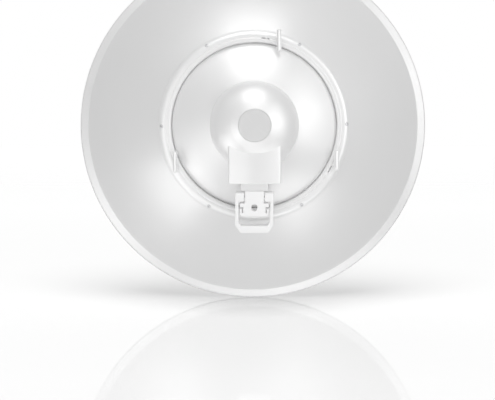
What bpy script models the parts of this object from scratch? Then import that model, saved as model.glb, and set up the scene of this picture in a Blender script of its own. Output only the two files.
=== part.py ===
"""Deep dish antenna, seen from behind: reflector, rear collar, hub, port housing, latch and feed.

Units are metres and +Z is up. The dish looks along +Y, so its rounded back faces -Y. The origin
lies on the collar's flat land, straight above the dish axis, where the mounting bracket sits.
"""

import math

import bmesh
import bpy
from mathutils import Matrix

# Reflector: a deep parabola with a flared lip.
RIM_RADIUS = 0.325
LIP_WIDTH = 0.016
LIP_SLOPE = math.radians(24)
LIP_EDGE_RADIUS = 0.004
LIP_SKIRT = 0.005
FOCAL_LENGTH = 0.100
SKIN = 0.003
VERTEX_Y = -0.0433
FEED_HOLE_RADIUS = 0.030

# Collar: the ring on the dish's back, with a flat land between two rounded shoulders.
COLLAR_INNER_RADIUS = 0.1435
COLLAR_INNER_ROUND = 0.0042
LAND_RADIUS = 0.15065
LAND_OUTER_RADIUS = 0.1548
SHOULDER_RADIUS = 0.0105
SHOULDER_SWEEP = math.radians(46)
COLLAR_OUTER_RADIUS = 0.1655
COLLAR_EDGE_DROP = 0.0036
SCREW_CIRCLE_RADIUS = 0.1603
SCREW_COUNT = 6
SCREW_FIRST_ANGLE = math.radians(0.7)
SCREW_HEAD_RADIUS = 0.0034
SCREW_HEAD_HEIGHT = 0.0016
SCREW_HEAD_CHAMFER = 0.0006
SCREW_SEAT_DEPTH = 0.0008
SCREW_SOCKET_RADIUS = 0.0017
SCREW_SOCKET_DEPTH = 0.0010

# Upright pins that lie across the collar: x, z of the middle from the dish axis, and length.
PIN_RADIUS = 0.0039
PIN_PLACES = {
    "top": (0.0429, 0.1460, 0.0400),
    "left": (-0.1360, -0.0630, 0.0380),
    "right": (0.1420, -0.0600, 0.0370),
}
PIN_FOOT_WIDTH = 0.0060
PIN_FOOT_LENGTH = 0.0056
PIN_FOOT_HEIGHT = 0.0030

# Hub: a dome on the dish's back with a round plate let into its top.
HUB_RADIUS = 0.0760
HUB_HEIGHT = 0.0600
HUB_BASE_Y = -0.0293
CAP_RADIUS = 0.0272
CAP_THICKNESS = 0.0016
CAP_EDGE_CHAMFER = 0.0003
SPIGOT_RADIUS = 0.0290

# Port housing: a half-round box under the dome.
PORT_HALF_WIDTH = 0.0446
PORT_BOTTOM_Z = -0.0980
PORT_TOP_Z = -0.0250
PORT_FRONT_Y = -0.0766
PORT_CROWN = 0.0060
PORT_EDGE_BEVEL = 0.0010
PORT_TRIM_DEPTH_Y = 0.0100

# Latch: a tongue below the port housing, lying as steep as the dish there, and its bail.
LATCH_TILT = math.radians(35)
PIVOT_Y = -0.0403
PIVOT_Z = -0.1210
NECK_HALF_WIDTH = 0.0235
NECK_LENGTH_ABOVE_PIVOT = 0.0148
NECK_REAR_DEPTH = 0.0120
TONGUE_THICKNESS = 0.0080
TONGUE_HALF_WIDTH = 0.0160
HEAD_TOP = 0.0120
HEAD_BOTTOM = 0.0398
HEAD_HALF_WIDTH = 0.0247
HEAD_FOOT_HALF_WIDTH = 0.0214
HEAD_CHAMFER = 0.0040
SLOT_TOP = 0.0139
SLOT_BOTTOM = 0.0313
SLOT_RADIUS = 0.0054
FINGER_SLIT_INNER = 0.0191
FINGER_SLIT_OUTER = 0.0216
FINGER_TOP = 0.0198
FINGER_TIP = 0.0236
FINGER_ROOT = 0.0333

BAIL_HALF_WIDTH = 0.0328
BAIL_BAR_WIDTH = 0.0061
BAIL_THICKNESS = 0.0070
BAIL_EAR_INNER = 0.0180
BAIL_EAR_TOP = -0.0105
BAIL_EAR_BOTTOM = 0.0093
BAIL_GRIP_TOP = 0.0618
BAIL_GRIP_BOTTOM = 0.0785
BAIL_OUTER_CHAMFER = (0.0080, 0.0170)
BAIL_INNER_CHAMFER = (0.0032, 0.0085)
BAIL_PIN_RADIUS = 0.0020
BAIL_PIN_HALF_LENGTH = 0.0320
LATCH_EDGE_BEVEL = 0.0006

# Feed: a plain rear-entry feed with its small reflector near the focus.
FEED_FLANGE_RADIUS = 0.0480
FEED_FLANGE_THICKNESS = 0.0050
FEED_TUBE_RADIUS = 0.0210
FEED_TUBE_END_Y = 0.0340
FEED_CONE_END_Y = 0.0620
FEED_CONE_THROAT_RADIUS = 0.0190
FEED_CONE_MOUTH_RADIUS = 0.0420
SUB_REFLECTOR_RADIUS = 0.0460
SUB_REFLECTOR_THICKNESS = 0.0040
FEED_CAP_WALL = 0.0020
FEED_CAP_HEIGHT = 0.0100
FEED_CHAMFER = 0.0010

GAP = 0.0003
FRONT_SEAT_GAP = 0.0007
AXIS_Z = -LAND_RADIUS
TRIM_RADIUS = 0.2000
BIG_SEGMENTS = 72
HUB_SEGMENTS = 64
FEED_SEGMENTS = 32
SMALL_SEGMENTS = 16
BOWL_RINGS = 13
DOME_RINGS = 9
SHOULDER_STEPS = 5
SMOOTH_ANGLE = math.radians(32)


def clear_scene():
    """Remove every object that the file opened with."""
    for old in list(bpy.data.objects):
        bpy.data.objects.remove(old, do_unlink=True)


def principled(name, color, roughness, metallic=0.0):
    """Make a Principled material of one plain colour."""
    material = bpy.data.materials.new(name)
    material.use_nodes = True
    shader = material.node_tree.nodes["Principled BSDF"]
    shader.inputs["Base Color"].default_value = (*color, 1.0)
    shader.inputs["Roughness"].default_value = roughness
    shader.inputs["Metallic"].default_value = metallic
    return material


def painted_white(name):
    return principled(name, (0.86, 0.86, 0.86), 0.38)


def moulded_white(name):
    return principled(name, (0.88, 0.88, 0.88), 0.32)


def bright_steel(name):
    return principled(name, (0.62, 0.62, 0.63), 0.30, 1.0)


def add_empty(name, location, parent=None, tilt=0.0):
    """Add an empty that pieces are placed by."""
    empty = bpy.data.objects.new(name, None)
    bpy.context.collection.objects.link(empty)
    empty.location = location
    empty.rotation_euler = (tilt, 0.0, 0.0)
    empty.parent = parent
    return empty


def add_object(name, mesh_data, parent, material=None):
    """Put a finished bmesh into the scene as one named object."""
    bmesh.ops.recalc_face_normals(mesh_data, faces=mesh_data.faces)
    mesh = bpy.data.meshes.new(name)
    mesh_data.to_mesh(mesh)
    mesh_data.free()
    piece = bpy.data.objects.new(name, mesh)
    bpy.context.collection.objects.link(piece)
    piece.parent = parent
    if material is not None:
        mesh.materials.append(material)
        mesh.shade_smooth()
        mesh.set_sharp_from_angle(angle=SMOOTH_ANGLE)
    return piece


def make_cutter(piece):
    """Turn an object into a hidden cutting shape."""
    piece.hide_render = True
    piece.display_type = "WIRE"
    return piece


def cut(piece, cutter, name="cut"):
    """Take the cutter's shape away from a piece."""
    boolean = piece.modifiers.new(name, "BOOLEAN")
    boolean.operation = "DIFFERENCE"
    boolean.solver = "EXACT"
    boolean.object = cutter


def join(piece, other, name="join"):
    """Fuse a hidden helper shape into a piece."""
    boolean = piece.modifiers.new(name, "BOOLEAN")
    boolean.operation = "UNION"
    boolean.solver = "EXACT"
    boolean.object = other


def bevel_edges(piece, width, segments=1):
    """Round the sharp edges of a piece a little."""
    bevel = piece.modifiers.new("edges", "BEVEL")
    bevel.width = width
    bevel.segments = segments
    bevel.limit_method = "ANGLE"
    bevel.angle_limit = math.radians(40)


def turned(profile, segments):
    """Turn a closed (radius, y) outline about the Y axis into a closed bmesh."""
    shape = bmesh.new()
    rings = []
    for radius, depth in profile:
        if radius == 0.0:
            rings.append([shape.verts.new((0.0, depth, 0.0))])
            continue
        ring = []
        for step in range(segments):
            angle = 2 * math.pi * step / segments
            ring.append(shape.verts.new((radius * math.cos(angle), depth, radius * math.sin(angle))))
        rings.append(ring)
    for first, second in zip(rings, rings[1:] + rings[:1]):
        if len(first) == 1 and len(second) == 1:
            continue
        for step in range(segments):
            following = (step + 1) % segments
            corners = [first[step % len(first)], first[following % len(first)]]
            corners += [second[following % len(second)], second[step % len(second)]]
            shape.faces.new(list(dict.fromkeys(corners)))
    return shape


def extruded(outline, near_y, far_y):
    """Extrude a closed (x, z) outline along Y."""
    shape = bmesh.new()
    near = [shape.verts.new((x, near_y, z)) for x, z in outline]
    far = [shape.verts.new((x, far_y, z)) for x, z in outline]
    shape.faces.new(near)
    shape.faces.new(far)
    for index in range(len(outline)):
        following = (index + 1) % len(outline)
        shape.faces.new([near[index], near[following], far[following], far[index]])
    shape.normal_update()
    bmesh.ops.triangulate(shape, faces=[face for face in shape.faces if len(face.verts) > 4])
    return shape


def extruded_along_x(outline, half_width):
    """Extrude a closed (y, z) outline along X, as far on both sides."""
    shape = bmesh.new()
    left = [shape.verts.new((-half_width, y, z)) for y, z in outline]
    right = [shape.verts.new((half_width, y, z)) for y, z in outline]
    shape.faces.new(left)
    shape.faces.new(right)
    for index in range(len(outline)):
        following = (index + 1) % len(outline)
        shape.faces.new([left[index], left[following], right[following], right[index]])
    return shape


def extruded_upright(outline, low_z, high_z):
    """Extrude a closed (x, y) outline along Z."""
    shape = bmesh.new()
    low = [shape.verts.new((x, y, low_z)) for x, y in outline]
    high = [shape.verts.new((x, y, high_z)) for x, y in outline]
    shape.faces.new(low)
    shape.faces.new(high)
    for index in range(len(outline)):
        following = (index + 1) % len(outline)
        shape.faces.new([low[index], low[following], high[following], high[index]])
    return shape


def arc(center, radius, start, end, steps):
    """List the points of an arc in an outline's plane, both ends included."""
    points = []
    for step in range(steps + 1):
        angle = start + (end - start) * step / steps
        points.append((center[0] + radius * math.cos(angle), center[1] + radius * math.sin(angle)))
    return points


def back_y(radius):
    """Y of the dish's back surface at a radius."""
    return VERTEX_Y + radius ** 2 / (4 * FOCAL_LENGTH)


def slope_at(radius):
    """Angle of the dish's back surface to the plane across its axis."""
    return math.atan(radius / (2 * FOCAL_LENGTH))


def front_point(radius):
    """Point of the front surface one skin thickness from the back surface's radius."""
    slope = slope_at(radius)
    return (radius - SKIN * math.sin(slope), back_y(radius) + SKIN * math.cos(slope))


def even_steps(start, end, count):
    """List a number of even steps from start to end, both included."""
    return [start + (end - start) * step / count for step in range(count + 1)]


def round_section(radius):
    """List the points of a small full circle about an outline's middle."""
    return arc((0.0, 0.0), radius, 0.0, 2 * math.pi, SMALL_SEGMENTS)[:-1]


def dish_cutter(parent):
    """Solid that fills the dish up to just proud of its back, for trimming what sits on it."""
    radii = even_steps(0.0, TRIM_RADIUS, BOWL_RINGS)
    profile = [(radius, back_y(radius) - GAP) for radius in radii]
    profile.append((radii[-1], TRIM_RADIUS))
    profile.append((0.0, TRIM_RADIUS))
    return make_cutter(add_object("dish_cutter", turned(profile, BIG_SEGMENTS), parent))


def build_reflector(parent):
    """Parabolic shell with a flared lip that turns forward at its edge."""
    lip_start = RIM_RADIUS - LIP_WIDTH
    radii = even_steps(FEED_HOLE_RADIUS, lip_start, BOWL_RINGS)
    back = [(radius, back_y(radius)) for radius in radii]
    flat_end = RIM_RADIUS - LIP_EDGE_RADIUS * (1 - math.sin(LIP_SLOPE))
    flat_end_y = back_y(lip_start) + (flat_end - lip_start) * math.tan(LIP_SLOPE)
    edge_center = (
        flat_end - LIP_EDGE_RADIUS * math.sin(LIP_SLOPE),
        flat_end_y + LIP_EDGE_RADIUS * math.cos(LIP_SLOPE),
    )
    start = LIP_SLOPE - math.pi / 2
    outer_edge = arc(edge_center, LIP_EDGE_RADIUS, start, 0.0, 4)
    inner_edge = arc(edge_center, LIP_EDGE_RADIUS - SKIN, start, 0.0, 2)
    skirt_y = edge_center[1] + LIP_SKIRT
    skirt = [(RIM_RADIUS, skirt_y), (RIM_RADIUS - SKIN, skirt_y)]
    front = [front_point(radius) for radius in radii]
    profile = back + outer_edge + skirt + inner_edge[::-1] + front[::-1]
    return add_object("reflector", turned(profile, BIG_SEGMENTS), parent, painted_white("reflector_paint"))


def build_collar(parent):
    """Ring on the dish's back: rounded inner edge, flat land, and a shoulder that falls away."""
    inner_center = (COLLAR_INNER_RADIUS + COLLAR_INNER_ROUND, COLLAR_INNER_ROUND)
    inner_round = arc(inner_center, COLLAR_INNER_ROUND, math.pi, 1.5 * math.pi, SHOULDER_STEPS)
    shoulder_center = (LAND_OUTER_RADIUS, SHOULDER_RADIUS)
    shoulder_end = SHOULDER_SWEEP - math.pi / 2
    shoulder = arc(shoulder_center, SHOULDER_RADIUS, -math.pi / 2, shoulder_end, SHOULDER_STEPS)
    edge = [(COLLAR_OUTER_RADIUS, shoulder[-1][1] + COLLAR_EDGE_DROP)]
    foot_radii = even_steps(COLLAR_INNER_RADIUS, COLLAR_OUTER_RADIUS, 3)
    foot = [(radius, back_y(radius) - GAP) for radius in foot_radii]
    profile = inner_round + shoulder + edge + foot[::-1]
    return add_object("collar", turned(profile, BIG_SEGMENTS), parent, moulded_white("collar_plastic"))


def build_collar_screws(collar, parent):
    """Flat-headed screws on flat seats that are sunk in the collar's shoulder."""
    slope = math.asin((SCREW_CIRCLE_RADIUS - LAND_OUTER_RADIUS) / SHOULDER_RADIUS)
    face_y = SHOULDER_RADIUS * (1 - math.cos(slope))
    seat = SCREW_SEAT_DEPTH
    bottom = seat - GAP
    top = bottom - SCREW_HEAD_HEIGHT
    profile = [
        (0.0, bottom),
        (SCREW_HEAD_RADIUS, bottom),
        (SCREW_HEAD_RADIUS, top + SCREW_HEAD_CHAMFER),
        (SCREW_HEAD_RADIUS - SCREW_HEAD_CHAMFER, top),
        (SCREW_SOCKET_RADIUS, top),
        (SCREW_SOCKET_RADIUS, top + SCREW_SOCKET_DEPTH),
        (0.0, top + SCREW_SOCKET_DEPTH),
    ]
    seat_radius = SCREW_HEAD_RADIUS + GAP
    seat_profile = [(0.0, seat), (seat_radius, seat)]
    seat_profile += [(seat_radius, -SHOULDER_RADIUS), (0.0, -SHOULDER_RADIUS)]
    for index in range(SCREW_COUNT):
        angle = SCREW_FIRST_ANGLE + 2 * math.pi * index / SCREW_COUNT
        name = f"collar_screw_{index + 1}"
        screw = add_object(name, turned(profile, SMALL_SEGMENTS), parent, bright_steel(name))
        shape = turned(seat_profile, SMALL_SEGMENTS)
        seat_cutter = make_cutter(add_object(f"{name}_seat", shape, parent))
        for piece in (screw, seat_cutter):
            radial_x = SCREW_CIRCLE_RADIUS * math.cos(angle)
            radial_z = SCREW_CIRCLE_RADIUS * math.sin(angle)
            piece.location = (radial_x, face_y, radial_z)
            piece.rotation_mode = "AXIS_ANGLE"
            piece.rotation_axis_angle = (slope, -math.sin(angle), 0.0, math.cos(angle))
        cut(collar, seat_cutter, name)


def build_collar_pins(parent):
    """Upright round-ended pins, each on a small foot on the collar's land."""
    for place, (middle_x, middle_z, length) in PIN_PLACES.items():
        half = length / 2 - PIN_RADIUS
        top_cap = arc((0.0, half), PIN_RADIUS, math.pi / 2, 0.0, 4)
        bottom_cap = arc((0.0, -half), PIN_RADIUS, 0.0, -math.pi / 2, 4)
        outline = [(abs(round(radius, 9)), height) for radius, height in top_cap + bottom_cap]
        shape = turned(outline, SMALL_SEGMENTS)
        upright = Matrix.Rotation(math.pi / 2, 3, "X")
        bmesh.ops.rotate(shape, verts=shape.verts, cent=(0, 0, 0), matrix=upright)
        name = f"collar_pin_{place}"
        pin = add_object(name, shape, parent, painted_white(name))
        pin_y = -GAP - PIN_FOOT_HEIGHT - PIN_RADIUS
        pin.location = (middle_x, pin_y, middle_z)

        foot_z = math.copysign(math.sqrt(LAND_RADIUS ** 2 - middle_x ** 2), middle_z)
        wide = PIN_FOOT_WIDTH / 2
        long = PIN_FOOT_LENGTH / 2
        outline = [(-wide, -long), (wide, -long), (wide, long), (-wide, long)]
        foot = add_object(f"{name}_foot", extruded(outline, pin_y, -GAP), parent)
        foot.location = (middle_x, 0.0, foot_z)
        join(pin, make_cutter(foot))


def dome_outline(grow, inner_radius):
    """Points along the dome from its foot to a radius near its top."""
    stop = math.acos(inner_radius / (HUB_RADIUS + grow))
    points = []
    for step in range(DOME_RINGS + 1):
        angle = stop * step / DOME_RINGS
        radius = (HUB_RADIUS + grow) * math.cos(angle)
        points.append((radius, HUB_BASE_Y - (HUB_HEIGHT + grow) * math.sin(angle)))
    return points


def build_hub(parent):
    """Dome with a pocket for its round plate, and a spigot that passes through the reflector."""
    dome = dome_outline(0.0, CAP_RADIUS + GAP)
    pocket_y = dome[-1][1] + CAP_THICKNESS
    foot_radii = even_steps(SPIGOT_RADIUS, HUB_RADIUS, 4)
    foot = [(radius, back_y(radius) - GAP) for radius in foot_radii]
    spigot_end = VERTEX_Y + SKIN
    profile = dome + [(CAP_RADIUS + GAP, pocket_y), (0.0, pocket_y), (0.0, spigot_end)]
    profile += [(SPIGOT_RADIUS, spigot_end)] + foot
    hub = add_object("hub_housing", turned(profile, HUB_SEGMENTS), parent, moulded_white("hub_plastic"))

    cap_back = pocket_y - GAP
    cap_front = cap_back - CAP_THICKNESS
    profile = [(0.0, cap_back), (CAP_RADIUS, cap_back), (CAP_RADIUS, cap_front + CAP_EDGE_CHAMFER)]
    profile += [(CAP_RADIUS - CAP_EDGE_CHAMFER, cap_front), (0.0, cap_front)]
    add_object("hub_cap", turned(profile, HUB_SEGMENTS), parent, moulded_white("cap_plastic"))
    return hub


def build_port_housing(parent, dish):
    """Box under the dome with a front that bulges from side to side, trimmed to dome and dish."""
    crown_radius = (PORT_HALF_WIDTH ** 2 + PORT_CROWN ** 2) / (2 * PORT_CROWN)
    half_angle = math.asin(PORT_HALF_WIDTH / crown_radius)
    crown_center = (0.0, PORT_FRONT_Y + crown_radius)
    middle_angle = -math.pi / 2
    front = arc(crown_center, crown_radius, middle_angle - half_angle, middle_angle + half_angle, 12)
    outline = front + [(PORT_HALF_WIDTH, 0.0), (-PORT_HALF_WIDTH, 0.0)]
    shape = extruded_upright(outline, PORT_BOTTOM_Z, PORT_TOP_Z)
    housing = add_object("port_housing", shape, parent, moulded_white("port_plastic"))
    bevel_edges(housing, PORT_EDGE_BEVEL)

    profile = dome_outline(GAP, GAP)
    profile += [(0.0, profile[-1][1]), (0.0, PORT_TRIM_DEPTH_Y), (HUB_RADIUS + GAP, PORT_TRIM_DEPTH_Y)]
    dome = make_cutter(add_object("dome_cutter", turned(profile, HUB_SEGMENTS), parent))
    cut(housing, dome, "dome")
    cut(housing, dish, "dish")
    return housing


def latch_point(along, out):
    """Dish-axis (y, z) of a point in the latch's plane: along its slope, and out from it."""
    y = PIVOT_Y + along * math.sin(LATCH_TILT) - out * math.cos(LATCH_TILT)
    z = PIVOT_Z - along * math.cos(LATCH_TILT) - out * math.sin(LATCH_TILT)
    return (y, z)


def build_latch_neck(parent):
    """Wedge under the port housing that the tongue hangs from."""
    front_low = latch_point(-NECK_LENGTH_ABOVE_PIVOT, TONGUE_THICKNESS / 2)
    rear_low = latch_point(-NECK_LENGTH_ABOVE_PIVOT, -NECK_REAR_DEPTH)
    top_z = PORT_BOTTOM_Z - GAP
    outline = [(front_low[0], top_z), front_low, rear_low, (rear_low[0], top_z)]
    shape = extruded_along_x(outline, NECK_HALF_WIDTH)
    return add_object("latch_neck", shape, parent, moulded_white("neck_plastic"))


def build_latch_tongue(parent):
    """Tongue that widens to a head with a long hole and a spring finger on each side."""
    top = NECK_LENGTH_ABOVE_PIVOT - GAP
    right = [
        (TONGUE_HALF_WIDTH, top),
        (TONGUE_HALF_WIDTH, -HEAD_TOP),
        (HEAD_HALF_WIDTH, -HEAD_TOP),
        (HEAD_HALF_WIDTH, -FINGER_TOP),
        (FINGER_SLIT_INNER, -FINGER_TOP),
        (FINGER_SLIT_INNER, -FINGER_ROOT),
        (FINGER_SLIT_OUTER, -FINGER_ROOT),
        (FINGER_SLIT_OUTER, -FINGER_TIP),
        (HEAD_HALF_WIDTH, -FINGER_TIP),
        (HEAD_HALF_WIDTH, -HEAD_BOTTOM + HEAD_CHAMFER),
        (HEAD_FOOT_HALF_WIDTH, -HEAD_BOTTOM),
    ]
    left = [(-x, z) for x, z in reversed(right)]
    half = TONGUE_THICKNESS / 2
    shape = extruded(right + left, -half, half)
    tongue = add_object("latch_tongue", shape, parent, moulded_white("tongue_plastic"))
    bevel_edges(tongue, LATCH_EDGE_BEVEL)

    upper = arc((0.0, -SLOT_TOP - SLOT_RADIUS), SLOT_RADIUS, 0.0, math.pi, 8)
    lower = arc((0.0, -SLOT_BOTTOM + SLOT_RADIUS), SLOT_RADIUS, math.pi, 2 * math.pi, 8)
    slot = make_cutter(add_object("slot_cutter", extruded(upper + lower, -2 * half, 2 * half), parent))
    cut(tongue, slot, "slot")
    return tongue


def pin_bore_cutter(parent):
    """Round cutter for the bail's pin, along X through ears and tongue."""
    shape = extruded_along_x(round_section(BAIL_PIN_RADIUS + GAP), 2 * BAIL_HALF_WIDTH)
    return make_cutter(add_object("pin_bore_cutter", shape, parent))


def build_bail(parent):
    """Pull bail: two ears, two side bars and a broad grip with cut corners."""
    bar_inner = BAIL_HALF_WIDTH - BAIL_BAR_WIDTH
    right = [
        (BAIL_EAR_INNER, -BAIL_EAR_TOP),
        (BAIL_HALF_WIDTH, -BAIL_EAR_TOP),
        (BAIL_HALF_WIDTH, -BAIL_GRIP_BOTTOM + BAIL_OUTER_CHAMFER[1]),
        (BAIL_HALF_WIDTH - BAIL_OUTER_CHAMFER[0], -BAIL_GRIP_BOTTOM),
    ]
    right_inner = [
        (bar_inner - BAIL_INNER_CHAMFER[0], -BAIL_GRIP_TOP),
        (bar_inner, -BAIL_GRIP_TOP + BAIL_INNER_CHAMFER[1]),
        (bar_inner, -BAIL_EAR_BOTTOM),
        (BAIL_EAR_INNER, -BAIL_EAR_BOTTOM),
    ]
    left = [(-x, z) for x, z in reversed(right)]
    left_inner = [(-x, z) for x, z in reversed(right_inner)]
    half = BAIL_THICKNESS / 2
    shape = extruded(right + left + left_inner + right_inner, -half, half)
    bail = add_object("bail", shape, parent, moulded_white("bail_plastic"))
    bevel_edges(bail, LATCH_EDGE_BEVEL)
    return bail


def build_bail_pin(parent):
    """Steel pin through the bail's ears and the tongue."""
    shape = extruded_along_x(round_section(BAIL_PIN_RADIUS), BAIL_PIN_HALF_LENGTH)
    return add_object("bail_pin", shape, parent, bright_steel("pin_steel"))


def build_feed(parent):
    """Feed at the focus: flange on the dish's front, tube, cone, small reflector and cap."""
    foot = [front_point(radius) for radius in even_steps(FEED_HOLE_RADIUS, FEED_FLANGE_RADIUS, 3)]
    foot = [(radius, y + FRONT_SEAT_GAP) for radius, y in foot]
    flange_top = foot[-1][1] + FEED_FLANGE_THICKNESS
    hub_end = VERTEX_Y + SKIN + GAP
    profile = [(0.0, hub_end), (SPIGOT_RADIUS, hub_end), (SPIGOT_RADIUS, foot[0][1])] + foot
    profile += [(foot[-1][0], flange_top - FEED_CHAMFER), (foot[-1][0] - FEED_CHAMFER, flange_top)]
    profile += [(0.0, flange_top)]
    add_object("feed_flange", turned(profile, BIG_SEGMENTS), parent, moulded_white("feed_flange_plastic"))

    tube_start = flange_top + GAP
    profile = [(0.0, tube_start), (FEED_TUBE_RADIUS, tube_start), (FEED_TUBE_RADIUS, FEED_TUBE_END_Y)]
    profile += [(0.0, FEED_TUBE_END_Y)]
    add_object("feed_tube", turned(profile, FEED_SEGMENTS), parent, moulded_white("feed_tube_plastic"))

    cone_start = FEED_TUBE_END_Y + GAP
    profile = [(0.0, cone_start), (FEED_CONE_THROAT_RADIUS, cone_start)]
    profile += [(FEED_CONE_MOUTH_RADIUS, FEED_CONE_END_Y), (0.0, FEED_CONE_END_Y)]
    add_object("feed_cone", turned(profile, FEED_SEGMENTS), parent, moulded_white("feed_cone_plastic"))

    plate_start = FEED_CONE_END_Y + GAP
    plate_end = plate_start + SUB_REFLECTOR_THICKNESS
    profile = [(0.0, plate_start), (SUB_REFLECTOR_RADIUS, plate_start), (SUB_REFLECTOR_RADIUS, plate_end)]
    profile += [(0.0, plate_end)]
    add_object("sub_reflector", turned(profile, FEED_SEGMENTS), parent, bright_steel("sub_reflector_metal"))

    cap_start = plate_end + GAP
    wall_end = cap_start + FEED_CAP_WALL
    profile = [(0.0, cap_start), (SUB_REFLECTOR_RADIUS, cap_start), (SUB_REFLECTOR_RADIUS, wall_end)]
    for angle in even_steps(0.0, math.pi / 2, 6)[1:-1]:
        radius = SUB_REFLECTOR_RADIUS * math.cos(angle)
        profile.append((radius, wall_end + FEED_CAP_HEIGHT * math.sin(angle)))
    profile += [(0.0, wall_end + FEED_CAP_HEIGHT)]
    add_object("feed_cap", turned(profile, FEED_SEGMENTS), parent, moulded_white("feed_cap_plastic"))


def main():
    """Build every piece about the dish axis, and the latch's pieces about its pivot."""
    clear_scene()
    axis = add_empty("dish_axis", (0.0, 0.0, AXIS_Z))
    latch = add_empty("latch_pivot", (0.0, PIVOT_Y, PIVOT_Z), axis, LATCH_TILT)
    dish = dish_cutter(axis)
    bore = pin_bore_cutter(latch)

    build_reflector(axis)
    collar = build_collar(axis)
    build_collar_screws(collar, axis)
    build_collar_pins(axis)
    build_hub(axis)
    build_port_housing(axis, dish)
    build_latch_neck(axis)
    tongue = build_latch_tongue(latch)
    cut(tongue, bore, "pin_bore")
    bail = build_bail(latch)
    cut(bail, bore, "pin_bore")
    build_bail_pin(latch)
    build_feed(axis)
    bpy.context.view_layer.update()


main()
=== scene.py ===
"""Finished look of a deep dish antenna, seen from behind: smooth surfaces, satin finishes, studio.

Every piece is a surface worked out with numpy in the part's own frame: metres, +Z up, the dish
looks along +Y, and its axis lies LAND_RADIUS below the origin. Surfaces are first written about
the dish axis or about the latch's pivot, and then moved to the frame as whole arrays.
"""

import logging
import math
from dataclasses import dataclass, field
from enum import Enum
from typing import Callable

import bmesh
import bpy
import numpy as np
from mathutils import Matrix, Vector
from mathutils.geometry import tessellate_polygon


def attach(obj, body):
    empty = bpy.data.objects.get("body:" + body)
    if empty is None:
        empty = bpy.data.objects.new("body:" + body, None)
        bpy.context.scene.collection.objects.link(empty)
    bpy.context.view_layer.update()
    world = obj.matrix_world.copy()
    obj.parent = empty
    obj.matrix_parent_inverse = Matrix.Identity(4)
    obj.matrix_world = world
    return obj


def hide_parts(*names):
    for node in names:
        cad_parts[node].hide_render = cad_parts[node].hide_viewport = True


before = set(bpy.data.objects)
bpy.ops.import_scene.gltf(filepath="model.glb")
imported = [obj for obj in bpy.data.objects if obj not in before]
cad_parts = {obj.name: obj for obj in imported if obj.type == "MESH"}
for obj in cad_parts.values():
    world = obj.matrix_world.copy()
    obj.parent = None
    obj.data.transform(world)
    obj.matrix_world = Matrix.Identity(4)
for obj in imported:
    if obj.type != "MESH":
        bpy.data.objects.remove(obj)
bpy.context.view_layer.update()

LOG = logging.getLogger("dish_antenna")
Points = np.ndarray

LAND_RADIUS = 0.15065
AXIS = np.array((0.0, 0.0, -LAND_RADIUS))


class Body(Enum):
    """The two moving bodies of the part."""

    ANTENNA = "antenna"
    BAIL = "bail"


class Kind(Enum):
    """How a finish is made."""

    COAT = "powder coat on metal"
    MOULDED = "moulded plastic"
    METAL = "machined metal"


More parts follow.
